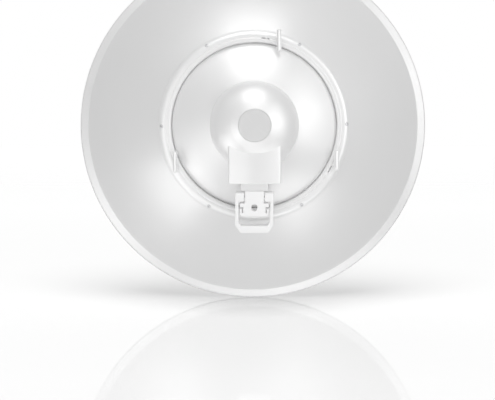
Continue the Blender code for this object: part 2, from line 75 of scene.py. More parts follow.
@dataclass(frozen=True)
class Finish:
    """One procedural finish.

    Attributes:
        name: The material's name.
        kind: Which family of finish it is.
        color: Base colour in linear light.
        roughness: Mean roughness.
        spread: How far the roughness wanders from its mean.
        grain: Number of surface grains along one metre.
        relief: Height of the grain in metres.
        tint: How far the colour wanders, as a share of itself.
        flake: Share of the surface that is fine bright flake, which makes the satin sheen.
        corner_shade_and_wear: How much darker the painted shade in the corners is, and how much lighter a rubbed edge.
    """

    name: str
    kind: Kind
    color: tuple[float, float, float]
    roughness: float
    spread: float
    grain: float
    relief: float
    tint: float
    flake: float = 0.35
    corner_shade_and_wear: float = 0.02

    def material(self) -> bpy.types.Material:
        """Build the material on Object coordinates.

        The colour drifts in wide soft clouds, is a little darker in corners, which is painted shade, and lighter on
        rubbed edges. The roughness drifts in smaller clouds, with thin wipe marks in it. The bump is the grain that
        the kind of finish has.

        Returns:
            The new material.
        """
        made = bpy.data.materials.new(self.name)
        made.use_nodes = True
        tree = made.node_tree
        shader = tree.nodes["Principled BSDF"]
        shader.inputs["Metallic"].default_value = 1.0 if self.kind is Kind.METAL else self.flake
        place = tree.nodes.new("ShaderNodeTexCoord").outputs["Object"]

        clouds = self.noise(tree, place, scale=9.0, detail=3.0)
        shade = self.span(tree, clouds, 0.3, 0.7, 1.0 - self.tint, 1.0)
        # Pointiness: concave corners are darkened as painted shade, and convex edges are lightened as rubbed wear.
        edge = tree.nodes.new("ShaderNodeNewGeometry").outputs["Pointiness"]
        corner_shade_and_rubbed_edge = self.span(tree, edge, 0.46, 0.54, 1.0 - self.corner_shade_and_wear, 1.0 + self.corner_shade_and_wear / 2)
        both = self.combine(tree, "MULTIPLY", shade, corner_shade_and_rubbed_edge)
        tone = tree.nodes.new("ShaderNodeVectorMath")
        tone.operation = "SCALE"
        tone.inputs[0].default_value = self.color
        tree.links.new(both, tone.inputs["Scale"])
        tree.links.new(tone.outputs["Vector"], shader.inputs["Base Color"])

        smear = self.noise(tree, place, scale=42.0, detail=4.0)
        gloss = self.span(tree, smear, 0.3, 0.7, self.roughness - self.spread, self.roughness + self.spread)
        wiped = self.span(tree, self.wipe_marks(tree, place), 0.56, 0.74, 0.0, self.spread)
        tree.links.new(self.combine(tree, "ADD", gloss, wiped), shader.inputs["Roughness"])

        bump = tree.nodes.new("ShaderNodeBump")
        bump.inputs["Strength"].default_value = 0.5
        bump.inputs["Distance"].default_value = self.relief
        tree.links.new(self.surface(tree, place), bump.inputs["Height"])
        tree.links.new(bump.outputs["Normal"], shader.inputs["Normal"])
        return made

    def surface(self, tree: bpy.types.NodeTree, place: bpy.types.NodeSocket) -> bpy.types.NodeSocket:
        """Height of the fine surface.

        A coat has soft orange peel with dust nibs in it. A moulding has the pits of a spark-eroded
        mould over a faint flow mark. Metal has turned rings about the dish axis under fine scratches.

        Args:
            tree: The material's node tree.
            place: The coordinates.

        Returns:
            The height's socket.
        """
        peel = self.noise(tree, place, scale=self.grain, detail=2.0)
        if self.kind is Kind.COAT:
            nibs = self.span(tree, self.noise(tree, place, scale=self.grain / 5, detail=0.0), 0.74, 0.80, 0.0, 0.6)
            return self.combine(tree, "ADD", peel, nibs)
        if self.kind is Kind.MOULDED:
            pits = tree.nodes.new("ShaderNodeTexVoronoi")
            pits.feature = "SMOOTH_F1"
            pits.inputs["Scale"].default_value = self.grain * 0.6
            tree.links.new(place, pits.inputs["Vector"])
            flow = self.noise(tree, place, scale=60.0, detail=1.0)
            grain = self.combine(tree, "ADD", peel, pits.outputs["Distance"])
            return self.combine(tree, "ADD", grain, flow)
        rings = tree.nodes.new("ShaderNodeTexWave")
        rings.wave_type = "RINGS"
        rings.rings_direction = "Y"
        rings.inputs["Scale"].default_value = 420.0
        rings.inputs["Distortion"].default_value = 0.6
        centered = tree.nodes.new("ShaderNodeMapping")
        centered.inputs["Location"].default_value = (0.0, 0.0, LAND_RADIUS)
        tree.links.new(place, centered.inputs["Vector"])
        tree.links.new(centered.outputs["Vector"], rings.inputs["Vector"])
        return self.combine(tree, "ADD", peel, rings.outputs["Fac"])

    def wipe_marks(self, tree: bpy.types.NodeTree, place: bpy.types.NodeSocket) -> bpy.types.NodeSocket:
        """Thin slanting streaks, as a cloth leaves them: noise that is drawn out along one direction."""
        drawn = tree.nodes.new("ShaderNodeMapping")
        drawn.inputs["Rotation"].default_value = (0.35, 0.8, 0.2)
        drawn.inputs["Scale"].default_value = (1.0, 14.0, 14.0)
        tree.links.new(place, drawn.inputs["Vector"])
        return self.noise(tree, drawn.outputs["Vector"], scale=16.0, detail=3.0)

    def span(self, tree: bpy.types.NodeTree, value: bpy.types.NodeSocket, low: float, high: float,
             to_low: float, to_high: float) -> bpy.types.NodeSocket:
        """Map a value from one span to another, held at its ends.

        Args:
            tree: The material's node tree.
            value: The value's socket.
            low: Value that becomes to_low.
            high: Value that becomes to_high.
            to_low: New low end.
            to_high: New high end.

        Returns:
            The mapped value's socket.
        """
        node = tree.nodes.new("ShaderNodeMapRange")
        node.inputs["From Min"].default_value, node.inputs["From Max"].default_value = low, high
        node.inputs["To Min"].default_value, node.inputs["To Max"].default_value = to_low, to_high
        tree.links.new(value, node.inputs["Value"])
        return node.outputs["Result"]

    def combine(self, tree: bpy.types.NodeTree, how: str, first: bpy.types.NodeSocket,
                second: bpy.types.NodeSocket) -> bpy.types.NodeSocket:
        """Add or multiply two values.

        Args:
            tree: The material's node tree.
            how: ADD or MULTIPLY.
            first: First value's socket.
            second: Second value's socket.

        Returns:
            The result's socket.
        """
        node = tree.nodes.new("ShaderNodeMath")
        node.operation = how
        tree.links.new(first, node.inputs[0])
        tree.links.new(second, node.inputs[1])
        return node.outputs["Value"]

    def noise(self, tree: bpy.types.NodeTree, place: bpy.types.NodeSocket, scale: float,
              detail: float) -> bpy.types.NodeSocket:
        """Add a noise pattern.

        Args:
            tree: The material's node tree.
            place: The coordinates.
            scale: Number of spots along one metre.
            detail: Number of finer layers.

        Returns:
            The noise's socket.
        """
        node = tree.nodes.new("ShaderNodeTexNoise")
        node.inputs["Scale"].default_value = scale
        node.inputs["Detail"].default_value = detail
        tree.links.new(place, node.inputs["Vector"])
        return node.outputs["Fac"]


REFLECTOR_COAT = Finish("reflector_coat", Kind.COAT, (0.83, 0.83, 0.83), 0.37, 0.03, 850.0, 0.00004, 0.012)
COLLAR_PLASTIC = Finish("collar_satin", Kind.MOULDED, (0.86, 0.86, 0.86), 0.36, 0.04, 1400.0, 0.00002, 0.010)
HUB_PLASTIC = Finish("hub_satin", Kind.MOULDED, (0.84, 0.84, 0.84), 0.37, 0.04, 1500.0, 0.00002, 0.010)
CAP_PLASTIC = Finish("cap_satin", Kind.MOULDED, (0.70, 0.70, 0.70), 0.42, 0.04, 1800.0, 0.00002, 0.010)
LATCH_PLASTIC = Finish("latch_satin", Kind.MOULDED, (0.92, 0.92, 0.92), 0.38, 0.04, 1600.0, 0.00002, 0.010)
PIN_COAT = Finish("pin_coat", Kind.COAT, (0.90, 0.90, 0.90), 0.32, 0.04, 1700.0, 0.00002, 0.012)
PIN_STEEL = Finish("pin_steel", Kind.METAL, (0.60, 0.60, 0.61), 0.28, 0.05, 2600.0, 0.00001, 0.040, corner_shade_and_wear=0.08)
SCREW_STEEL = Finish("screw_zinc", Kind.METAL, (0.70, 0.70, 0.71), 0.38, 0.06, 2400.0, 0.00002, 0.080, corner_shade_and_wear=0.15)
FEED_PLASTIC = Finish("feed_satin", Kind.MOULDED, (0.84, 0.84, 0.84), 0.40, 0.04, 1500.0, 0.00002, 0.010)
FEED_METAL = Finish("feed_aluminium", Kind.METAL, (0.78, 0.78, 0.80), 0.32, 0.05, 2200.0, 0.00001, 0.030, corner_shade_and_wear=0.06)


def line(start: tuple[float, float], end: tuple[float, float], steps: int) -> Points:
    """Points at even steps on a straight line, the end left out.

    Args:
        start: First point.
        end: Point that the line runs to.
        steps: Number of points.

    Returns:
        Points as rows of two numbers.
    """
    share = np.linspace(0.0, 1.0, steps, endpoint=False)[:, None]
    return np.array(start) * (1.0 - share) + np.array(end) * share


def rounded(corners: Points, radii: Points, steps: int, closed: bool = True) -> Points:
    """Round the corners of a flat outline.

    Each corner is replaced by the arc that touches both of its sides: the arc's middle lies on the
    bisector, at radius over the sine of half the corner, and its points turn evenly between the two
    touching points.

    Args:
        corners: Outline corners as rows of two numbers.
        radii: Radius at each corner.
        steps: Number of steps along each arc.
        closed: Whether the outline closes. If not, its two ends stay as they are.

    Returns:
        The rounded outline.
    """
    corners = np.asarray(corners, float)
    radii = np.broadcast_to(np.asarray(radii, float), (len(corners),))
    back = np.roll(corners, 1, axis=0) - corners
    ahead = np.roll(corners, -1, axis=0) - corners
    back = back / np.linalg.norm(back, axis=1)[:, None]
    ahead = ahead / np.linalg.norm(ahead, axis=1)[:, None]
    half = np.arccos(np.clip((back * ahead).sum(1), -1.0, 1.0)) / 2
    reach = radii / np.tan(half)
    first = back * reach[:, None]
    last = ahead * reach[:, None]
    bisector = (back + ahead) / np.maximum(np.linalg.norm(back + ahead, axis=1), 1e-12)[:, None]
    middle = bisector * (radii / np.sin(half))[:, None]
    sweep = np.maximum(math.pi - 2 * half, 1e-6)[:, None, None]
    share = np.linspace(0.0, 1.0, steps + 1)[None, :, None]
    start, stop = (first - middle)[:, None, :], (last - middle)[:, None, :]
    turned = (np.sin((1 - share) * sweep) * start + np.sin(share * sweep) * stop) / np.sin(sweep)
    arcs = corners[:, None, :] + middle[:, None, :] + turned
    if closed:
        return arcs.reshape(-1, 2)
    return np.vstack((corners[:1], arcs[1:-1].reshape(-1, 2), corners[-1:]))


def grid_faces(rows: int, columns: int, close_rows: bool, close_columns: bool) -> Points:
    """Corner numbers of the four-sided faces between the points of a grid.

    Args:
        rows: Number of grid rows.
        columns: Number of points in a row.
        close_rows: Whether the last row joins the first.
        close_columns: Whether each row is a ring.

    Returns:
        Faces as rows of four point numbers.
    """
    row = np.arange(rows if close_rows else rows - 1)[:, None]
    column = np.arange(columns if close_columns else columns - 1)[None, :]
    next_row = (row + 1) % rows
    next_column = (column + 1) % columns
    corners = (
        row * columns + column,
        row * columns + next_column,
        next_row * columns + next_column,
        next_row * columns + column,
    )
    return np.stack([np.broadcast_to(c, (row.size, column.size)) for c in corners], -1).reshape(-1, 4)


def fan_faces(ring: Points, middle: int) -> Points:
    """Triangles between a ring of points and one point in its middle.

    Args:
        ring: Point numbers of the ring in order.
        middle: Number of the middle point.

    Returns:
        Faces as rows of three point numbers.
    """
    return np.stack([ring, np.roll(ring, -1), np.full(len(ring), middle)], -1)


def make_piece(name: str, points: Points, faces: list[list[int]], finish: bpy.types.Material,
               sharp: float = 40.0) -> bpy.types.Object:
    """Put a surface into the scene as one smooth closed mesh with outward faces.

    Args:
        name: The piece's name.
        points: Points in the part's frame.
        faces: Faces as lists of point numbers.
        finish: The material.
        sharp: Angle in degrees past which an edge stays sharp.

    Returns:
        The new object, at the origin.
    """
    mesh = bpy.data.meshes.new(name)
    mesh.from_pydata(points.tolist(), [], faces)
    work = bmesh.new()
    work.from_mesh(mesh)
    bmesh.ops.remove_doubles(work, verts=work.verts, dist=1e-7)
    bmesh.ops.dissolve_degenerate(work, edges=work.edges, dist=1e-7)
    bmesh.ops.recalc_face_normals(work, faces=work.faces)
    open_edges = sum(1 for edge in work.edges if len(edge.link_faces) != 2)
    work.to_mesh(mesh)
    work.free()
    mesh.materials.append(finish)
    mesh.shade_smooth()
    mesh.set_sharp_from_angle(angle=math.radians(sharp))
    piece = bpy.data.objects.new(name, mesh)
    bpy.context.scene.collection.objects.link(piece)
    even = piece.modifiers.new("even_shading", "WEIGHTED_NORMAL")
    even.keep_sharp = True
    LOG.info("%s: %d faces, %d open edges", name, len(mesh.polygons), open_edges)
    return piece


def turned_points(profile: Points, segments: int,
                  ripple: Callable[[Points, Points], Points] | None = None) -> Points:
    """Turn a profile of radius and depth about the dish axis.

    A point's place is radius times the cosine of the angle, the depth, and radius times the sine.

    Args:
        profile: Rows of radius and depth.
        segments: Number of steps round the axis.
        ripple: Adds a depth to each point from its radius and its angle.

    Returns:
        Points about the dish axis, one ring after another.
    """
    angle = np.linspace(0.0, 2 * math.pi, segments, endpoint=False)[None, :]
    radius = profile[:, :1] * np.ones_like(angle)
    depth = profile[:, 1:] * np.ones_like(angle)
    if ripple is not None:
        depth = depth + ripple(radius, angle * np.ones_like(radius))
    return np.stack((radius * np.cos(angle), depth, radius * np.sin(angle)), -1).reshape(-1, 3)


def turned_ring(profile: Points, segments: int,
                ripple: Callable[[Points, Points], Points] | None = None) -> tuple[Points, list[list[int]]]:
    """Turn a closed profile into a ring.

    Args:
        profile: Closed outline of radius and depth.
        segments: Number of steps round the axis.
        ripple: Adds a depth to each point from its radius and its angle.

    Returns:
        The points and the faces.
    """
    points = turned_points(profile, segments, ripple)
    return points, grid_faces(len(profile), segments, True, True).tolist()


def turned_solid(profile: Points, segments: int) -> tuple[Points, list[list[int]]]:
    """Turn an open profile, whose ends lie on the axis, into a closed body.

    Args:
        profile: Rows of radius and depth, with both ends at radius nought.
        segments: Number of steps round the axis.

    Returns:
        The points and the faces.
    """
    rings = profile[1:-1]
    points = turned_points(rings, segments)
    ends = np.array(((0.0, profile[0, 1], 0.0), (0.0, profile[-1, 1], 0.0)))
    count = len(points)
    first = np.arange(segments)
    last = first + (len(rings) - 1) * segments
    faces = grid_faces(len(rings), segments, False, True).tolist()
    faces += fan_faces(first, count).tolist() + fan_faces(last, count + 1).tolist()
    return np.vstack((points, ends)), faces


def inset(loop: Points, distance: Points) -> Points:
    """Move a closed outline to its own inner side.

    Each point moves along the mean of its two sides' normals, lengthened so that both sides move by
    the same distance.

    Args:
        loop: Closed outline, with the solid on its left.
        distance: How far each point moves in.

    Returns:
        The moved outline.
    """
    side = np.roll(loop, -1, axis=0) - loop
    side = side / np.maximum(np.linalg.norm(side, axis=1), 1e-12)[:, None]
    normal = np.stack((-side[:, 1], side[:, 0]), -1)
    before = np.roll(normal, 1, axis=0)
    miter = (normal + before) / (1.0 + (normal * before).sum(1))[:, None]
    return loop + miter * np.broadcast_to(np.asarray(distance, float), (len(loop),))[:, None]


def solid_left(loop: Points, hole: bool = False) -> Points:
    """Order a closed outline so that the solid lies on its left.

    Args:
        loop: Closed outline.
        hole: Whether it bounds a hole.

    Returns:
        The outline in the right order.
    """
    following = np.roll(loop, -1, axis=0)
    area = (loop[:, 0] * following[:, 1] - following[:, 0] * loop[:, 1]).sum()
    return loop if (area > 0) != hole else loop[::-1]


def plate(loops: list[Points], half: float, edge: float, steps: int = 4) -> tuple[Points, list[list[int]]]:
    """Plate with rounded edges, from an outline and its holes.

    The edge's section is two quarter circles and the straight side between them. It is carried along
    every outline: at a turn of t the outline moves in by the edge radius times one less the cosine
    of t, and stands at half the thickness less the radius times one less the sine of t.

    Args:
        loops: The outer outline, then the holes.
        half: Half the thickness.
        edge: Radius of the rounded edges.
        steps: Number of steps of each quarter circle.

    Returns:
        Points as two outline numbers and a height, and the faces.
    """
    turn = np.linspace(0.0, math.pi / 2, steps + 1)
    moved = np.concatenate((edge * (1 - np.cos(turn[::-1])), edge * (1 - np.cos(turn))))
    height = np.concatenate((half - edge * (1 - np.sin(turn[::-1])), -half + edge * (1 - np.sin(turn))))
    points, faces, caps, start = [], [], [], 0
    for index, loop in enumerate(loops):
        loop = solid_left(loop, hole=index > 0)
        rings = [np.column_stack((inset(loop, d), np.full(len(loop), h))) for d, h in zip(moved, height)]
        points.append(np.concatenate(rings))
        faces += (grid_faces(len(rings), len(loop), False, True) + start).tolist()
        caps.append((start, start + (len(rings) - 1) * len(loop), len(loop)))
        start += len(rings) * len(loop)
    joined = np.concatenate(points)
    for end in (0, 1):
        faces += flat_cap(joined, [np.arange(c[2]) + c[end] for c in caps])
    return joined, faces


def flat_cap(points: Points, rings: list[Points]) -> list[list[int]]:
    """Fill the flat face between an outline and its holes with triangles.

    Args:
        points: All points of the plate.
        rings: Point numbers of the outline and of each hole.

    Returns:
        The triangles as lists of point numbers.
    """
    triangles = tessellate_polygon([points[ring].tolist() for ring in rings])
    return np.concatenate(rings)[np.array(triangles)].tolist()


@dataclass
class SubAssembly:
    """What every sub-assembly shares: finishes are made once, and each piece is dressed and placed."""

    finishes: dict[str, bpy.types.Material] = field(default_factory=dict)

    def finish(self, kind: Finish) -> bpy.types.Material:
        """Make a finish the first time that it is asked for.

        Args:
            kind: The finish.

        Returns:
            Its material.
        """
        if kind.name not in self.finishes:
            self.finishes[kind.name] = kind.material()
        return self.finishes[kind.name]

    def place(self, piece: bpy.types.Object, body: Body, slot: str, node: str) -> None:
        """Tie a piece to its body and hide the node that it stands for.

        Args:
            piece: The piece.
            body: The body that it moves with.
            slot: The material slot's name; not used.
            node: The node that it replaces.
        """
        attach(piece, body.value)
        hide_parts(node)
        LOG.info("%s rides on %s and stands for %s", piece.name, body.value, node)


@dataclass
class Dish(SubAssembly):
    """The parabolic sheet and its flared lip."""

    rim_radius: float = 0.325
    lip_width: float = 0.016
    lip_slope: float = math.radians(24)
    edge_radius: float = 0.004
    skirt: float = 0.005
    focal_length: float = 0.100
    skin: float = 0.003
    vertex: float = -0.0433
    hole_radius: float = 0.030
    fold_radius: float = 0.004
    gaps: tuple[tuple[float, float, float], ...] = (
        (0.1427, 0.00065, 0.0018), (0.1662, 0.00050, 0.0015), (0.3238, 0.00050, 0.0016),
    )
    segments: int = 288

    def back(self, radius: Points | float) -> Points | float:
        """Depth of the back surface: the vertex plus the radius squared over four focal lengths."""
        return self.vertex + np.square(radius) / (4 * self.focal_length)

    def slope(self, radius: Points | float) -> Points | float:
        """Slope of the back surface, whose tangent is the radius over two focal lengths."""
        return np.arctan(np.asarray(radius) / (2 * self.focal_length))

    def gap(self, points: Points) -> Points:
        """Sink fine grooves into the back: beside both feet of the collar, and round the lip's edge.

        Each groove's depth is its greatest depth times e to the minus fourth power of the distance
        from its radius over its half width, so it has a flat floor and steep sides.

        Args:
            points: Rows of radius and depth on the back.

        Returns:
            The rows with the grooves in them.
        """
        middle, half, deep = np.array(self.gaps).T[:, :, None]
        sunk = deep * np.exp(-((points[:, 0] - middle) / half) ** 4)
        return points + np.column_stack((np.zeros(len(points)), sunk.sum(0)))

    def section(self) -> Points:
        """Closed section of the sheet: back, lip, turned edge, skirt and front.

        The bowl is the parabola, and a small fold leads from it to the lip's straight cone. The
        front is the back moved in by the skin along its normal.

        Returns:
            Rows of radius and depth.
        """
        lip_start = self.rim_radius - self.lip_width
        bowl = np.linspace(self.hole_radius, lip_start - self.fold_radius, 58)
        middle, half, _ = np.array(self.gaps[:2]).T
        fine = np.sort(np.concatenate((bowl, (middle + half * np.linspace(-1.7, 1.7, 15)[:, None]).ravel())))
        back = self.gap(np.column_stack((fine, self.back(fine))))
        knee = (lip_start, float(self.back(lip_start)))
        flat_end = self.rim_radius - self.edge_radius * (1 - math.sin(self.lip_slope))
        lip_end = (flat_end, knee[1] + (flat_end - lip_start) * math.tan(self.lip_slope))
        fold = rounded(np.array((back[-1], knee, lip_end)), self.fold_radius, 6, closed=False)[1:-1]
        middle = np.array(lip_end) + self.edge_radius * np.array((-math.sin(self.lip_slope), math.cos(self.lip_slope)))
        turn = np.linspace(self.lip_slope - math.pi / 2, 0.0, 40)[:, None]
        spokes = np.hstack((np.cos(turn), np.sin(turn)))
        outer = self.gap(middle + self.edge_radius * spokes)
        inner = middle + (self.edge_radius - self.skin) * spokes[::6]
        skirt_end = middle[1] + self.skirt
        lip = self.rim_radius
        hem = 0.0004
        skirt = np.array((
            (lip, skirt_end - hem), (lip - hem, skirt_end),
            (lip - self.skin + hem, skirt_end), (lip - self.skin, skirt_end - hem),
        ))
        slope = self.slope(bowl)
        front = np.column_stack((bowl - self.skin * np.sin(slope), self.back(bowl) + self.skin * np.cos(slope)))
        inside_knee = fold + self.skin * np.array((-math.sin(0.7), math.cos(0.7)))
        return np.vstack((back, fold, outer, skirt, inner[::-1], inside_knee[::-1], front[::-1]))

    def build(self) -> None:
        """Make the dish."""
        points, faces = turned_ring(self.section(), self.segments)
        piece = make_piece("dish_sheet", points + AXIS, faces, self.finish(REFLECTOR_COAT))
        self.place(piece, Body.ANTENNA, "reflector_paint", "reflector")


@dataclass
class Collar(SubAssembly):
    """The ring on the dish's back with its screws and upright pins."""

    dish: Dish = field(default_factory=Dish)
    inner_radius: float = 0.1435
    inner_round: float = 0.0042
    land_outer: float = 0.1548
    shoulder: float = 0.0105
    sweep: float = math.radians(46)
    outer_radius: float = 0.1655
    edge_drop: float = 0.0036
    groove_radius: float = 0.1513
    groove_width: float = 0.0009
    groove_depth: float = 0.0006
    slot_width: float = 0.0011
    slot_depth: float = 0.0040
    slots: tuple[tuple[float, float], ...] = ((80.8, 1.6), (83.9, 2.2), (-30.0, 4.6))
    front_rows: int = 13 + 35
    segments: int = 960
    screw_circle: float = 0.1603
    screw_count: int = 6
    first_screw: float = math.radians(0.7)
    screw_radius: float = 0.0028
    washer: float = 0.0006
    pin_radius: float = 0.0039
    pin_core: float = 0.0022
    pin_slit: float = 0.0010
    pin_foot: float = 0.0030
    pins: tuple[tuple[str, float, float, float], ...] = (
        ("top", 0.0429, 0.1460, 0.0400),
        ("left", -0.1360, -0.0630, 0.0380),
        ("right", 0.1420, -0.0600, 0.0370),
    )

    def groove(self, radius: Points, angle: Points) -> Points:
        """Depth of the fine groove round the land, deeper at its three short slots.

        The groove's section is a bell curve of the distance from its radius. Round the ring a slot
        is one between its two ends and falls to nought over half a degree.

        Args:
            radius: Radius of each point.
            angle: Angle of each point in radians.

        Returns:
            The depth that is added to each point.
        """
        away = radius - self.groove_radius
        front = np.arange(len(radius))[:, None] < self.front_rows
        degrees = np.degrees(angle)
        depth = self.groove_depth * np.exp(-np.square(away / self.groove_width) * 2.0)
        across = self.slot_depth * np.exp(-(away / self.slot_width) ** 4)
        for middle, length in self.slots:
            beside = np.abs((degrees - middle + 180.0) % 360.0 - 180.0)
            depth = depth + across / (1.0 + np.exp((beside - length / 2) / 0.08))
        return front * depth

    def section(self) -> Points:
        """Closed section: inner quarter round, land, rounded shoulder, edge, outer wall and foot.

        Returns:
            Rows of radius and depth.
        """
        turn = np.linspace(math.pi, 1.5 * math.pi, 13)[:, None]
        center = np.array((self.inner_radius + self.inner_round, self.inner_round))
        inner = center + self.inner_round * np.hstack((np.cos(turn), np.sin(turn)))
        land = line((self.inner_radius + self.inner_round, 0.0), (self.land_outer, 0.0), 36)[1:]
        turn = np.linspace(-math.pi / 2, self.sweep - math.pi / 2, 15)[:, None]
        center = np.array((self.land_outer, self.shoulder))
        shoulder = center + self.shoulder * np.hstack((np.cos(turn), np.sin(turn)))
        edge = (self.outer_radius, shoulder[-1, 1] + self.edge_drop)
        foot_y = float(self.dish.back(self.outer_radius)) - 0.0002
        corner = rounded(np.array((shoulder[-1], edge, (self.outer_radius, foot_y))), 0.0012, 5, closed=False)[1:-1]
        wall = line((self.outer_radius, corner[-1, 1]), (self.outer_radius, foot_y), 5)[1:]
        radii = np.linspace(self.outer_radius, self.inner_radius, 10)
        foot = np.column_stack((radii, self.dish.back(radii) - 0.0002))
        return np.vstack((inner, land, shoulder, corner, wall, foot))

    def screw_head(self, angle: float) -> tuple[Points, list[list[int]]]:
        """Pan head with a six-sided socket on a thin washer.

        The head is turned from its section. In the socket the radius is divided by the cosine of
        the angle to the nearest flat's middle, which makes the ring a hexagon.

        Args:
            angle: Where the screw stands on its circle.

        Returns:
            Points about the dish axis and faces.
        """
        top = -0.0013
        head = rounded(np.array((
            (0.0, 0.0009), (self.screw_radius + self.washer, 0.0009), (self.screw_radius + self.washer, -0.0003),
            (self.screw_radius, -0.0003), (self.screw_radius, top), (0.0015, top),
            (0.0015, top + 0.0009), (0.0, top + 0.0009),
        )), np.array((0.0, 0.0002, 0.0002, 0.0001, 0.0007, 0.0001, 0.0001, 0.0)) + 1e-5, 3, closed=False)
        points, faces = turned_solid(head, 48)
        around = np.arctan2(points[:, 2], points[:, 0])
        flat = (around + math.pi / 6) % (math.pi / 3) - math.pi / 6
        reach = np.hypot(points[:, 0], points[:, 2])
        in_socket = (reach < 0.0018) & (points[:, 1] < 0.0)
        scale = np.where(in_socket, 0.92 / np.cos(flat), 1.0)
        points = points * np.column_stack((scale, np.ones_like(scale), scale))
        slope = math.asin((self.screw_circle - self.land_outer) / self.shoulder)
        outward = np.array((math.cos(angle), 0.0, math.sin(angle)))
        around_axis = np.array((-math.sin(angle), 0.0, math.cos(angle)))
        normal = np.array((0.0, math.cos(slope), 0.0)) - outward * math.sin(slope)
        radial = outward * math.cos(slope) + np.array((0.0, math.sin(slope), 0.0))
        seat = outward * self.screw_circle + np.array((0.0, self.shoulder * (1 - math.cos(slope)), 0.0))
        return points[:, :1] * radial + points[:, 1:2] * normal + points[:, 2:] * around_axis + seat, faces

    def pin(self, middle_x: float, middle_z: float, length: float) -> tuple[Points, list[list[int]]]:
        """Upright pin with rounded ends, whose crowned core stands in a narrow cradle.

        A section of distance and depth is carried round a long loop with round ends. A point lies
        at its distance from the pin's straight middle line: the distance times the cosine of the
        turn sideways, and times the sine upwards, past the end of the line on that side.

        Args:
            middle_x: Sideways place of its middle.
            middle_z: Height of its middle above the dish axis.
            length: Its length.

        Returns:
            Points about the dish axis and faces.
        """
        outer, core, slit = self.pin_radius, self.pin_core, self.pin_core + self.pin_slit
        away = np.linspace(0.0, core - 0.0003, 7)
        crown = np.column_stack((away, -np.sqrt(outer ** 2 - away ** 2)))
        shoulder = -math.sqrt(outer ** 2 - core ** 2)
        brim = -0.0024
        corners = np.array((
            crown[-1], (core, shoulder), (core, -0.0006), (slit, -0.0006), (slit, brim),
            (outer, brim + 0.0003), (outer, 0.0),
        ))
        cradle = rounded(corners, np.array((0.0, 0.0003, 0.0001, 0.0001, 0.0001, 0.0002, 0.0)) + 1e-6, 3, closed=False)
        turn = np.linspace(0.0, math.pi / 2, 9)[1:, None]
        back = outer * np.hstack((np.cos(turn), np.sin(turn)))
        back[-1, 0] = 0.0
        section = np.vstack((crown[:-1], cradle, back))
        around = (np.arange(48)[None, :] + 0.5) * (2 * math.pi / 48)
        x = section[:, :1] * np.cos(around)
        z = section[:, :1] * np.sin(around) + (length / 2 - outer) * np.sign(np.sin(around))
        y = section[:, 1:] * np.ones_like(around)
        points = np.stack((x, y, z), -1).reshape(-1, 3)
        depth = -0.0003 - self.pin_foot - outer
        faces = grid_faces(len(section), 48, False, True).tolist()
        return points + np.array((middle_x, depth, middle_z)), faces

    def pin_block(self, middle_x: float, middle_z: float) -> tuple[Points, list[list[int]]]:
        """Small saddle block that carries a pin on the land.

        Args:
            middle_x: Sideways place of the pin.
            middle_z: Height of the pin above the dish axis.

        Returns:
            Points about the dish axis and faces.
        """
        foot_z = math.copysign(math.sqrt(LAND_RADIUS ** 2 - middle_x ** 2), middle_z)
        corners = np.array(((-0.003, -0.0028), (0.003, -0.0028), (0.003, 0.0028), (-0.003, 0.0028)))
        points, faces = plate([rounded(corners, 0.0009, 4)], 0.0034, 0.0004, 3)
        moved = points[:, [0, 2, 1]] + np.array((middle_x, -0.0003 - 0.0034, foot_z))
        return moved, faces

    def build(self) -> None:
        """Make the ring, the screws and the pins."""
        points, faces = turned_ring(self.section(), self.segments, self.groove)
        ring = make_piece("collar_ring", points + AXIS, faces, self.finish(COLLAR_PLASTIC))
        self.place(ring, Body.ANTENNA, "collar_plastic", "collar")
        for index in range(self.screw_count):
            angle = self.first_screw + 2 * math.pi * index / self.screw_count
            points, faces = self.screw_head(angle)
            screw = make_piece(f"screw_head_{index + 1}", points + AXIS, faces, self.finish(SCREW_STEEL))
            self.place(screw, Body.ANTENNA, "screw_steel", f"collar_screw_{index + 1}")
        for place, middle_x, middle_z, length in self.pins:
            points, faces = self.pin(middle_x, middle_z, length)
            block, block_faces = self.pin_block(middle_x, middle_z)
            shifted = (np.array([len(points)])).item()
            faces = faces + [[number + shifted for number in face] for face in block_faces]
            both = np.vstack((points, block))
            pin = make_piece(f"pin_{place}", both + AXIS, faces, self.finish(PIN_COAT))
            self.place(pin, Body.ANTENNA, "pin_paint", f"collar_pin_{place}")


